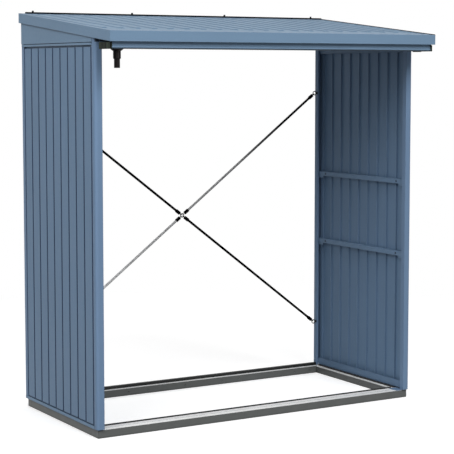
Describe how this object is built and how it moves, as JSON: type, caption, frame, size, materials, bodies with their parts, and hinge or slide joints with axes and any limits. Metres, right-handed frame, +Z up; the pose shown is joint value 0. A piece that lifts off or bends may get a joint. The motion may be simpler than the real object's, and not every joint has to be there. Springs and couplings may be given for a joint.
{
  "type": "open-fronted metal log store",
  "caption": "Open-fronted sheet-metal log store with ribbed side walls, a sloping ribbed roof, a front gutter, a base frame and rope bracing at the rear.",
  "frame": {"origin": "on the ground, under the middle of the roof's outline", "axes": "+X to the right seen from the front, +Y from the open front to the rear, +Z up"},
  "size_m": [1.82, 1.021, 1.9987],
  "materials": {
    "blue_sheet": "metallic grey-blue coating",
    "base_metal": "mill finish",
    "black_plastic": "moulded black",
    "black_rubber": "matt",
    "steel_fittings": "stainless",
    "steel_rope": "stranded rope with dark ferrules"
  },
  "bodies": {
    "root": {"base_front_rail": "base_metal", "base_rear_rail": "base_metal", "base_left_rail": "base_metal", "base_right_rail": "base_metal", "left_front_post": "blue_sheet", "right_front_post": "blue_sheet", "left_rear_post": "blue_sheet", "right_rear_post": "blue_sheet", "left_wall_sheet": "blue_sheet", "right_wall_sheet": "blue_sheet", "left_bottom_rail": "blue_sheet", "right_bottom_rail": "blue_sheet", "left_top_rail": "blue_sheet", "right_top_rail": "blue_sheet", "left_lower_stiffener": "blue_sheet", "right_lower_stiffener": "blue_sheet", "left_upper_stiffener": "blue_sheet", "right_upper_stiffener": "blue_sheet", "left_gable_plate": "blue_sheet", "right_gable_plate": "blue_sheet", "front_beam": "blue_sheet", "rear_beam": "blue_sheet", "roof_sheet_left": "blue_sheet", "roof_sheet_middle": "blue_sheet", "roof_sheet_right": "blue_sheet", "front_trim": "blue_sheet", "rear_trim": "blue_sheet", "left_verge_trim": "blue_sheet", "right_verge_trim": "blue_sheet", "rear_seal": "black_rubber", "gutter": "blue_sheet", "gutter_left_cap": "black_plastic", "gutter_right_cap": "black_plastic", "gutter_outlet": "black_plastic", "gutter_plug": "black_plastic", "upper_left_anchor": "steel_fittings", "upper_right_anchor": "steel_fittings", "lower_left_anchor": "steel_fittings", "lower_right_anchor": "steel_fittings", "upper_left_brace": "steel_rope", "upper_right_brace": "steel_rope", "lower_left_brace": "steel_rope", "lower_right_brace": "steel_rope", "brace_ring": "steel_fittings"}
  },
  "joints": []
}
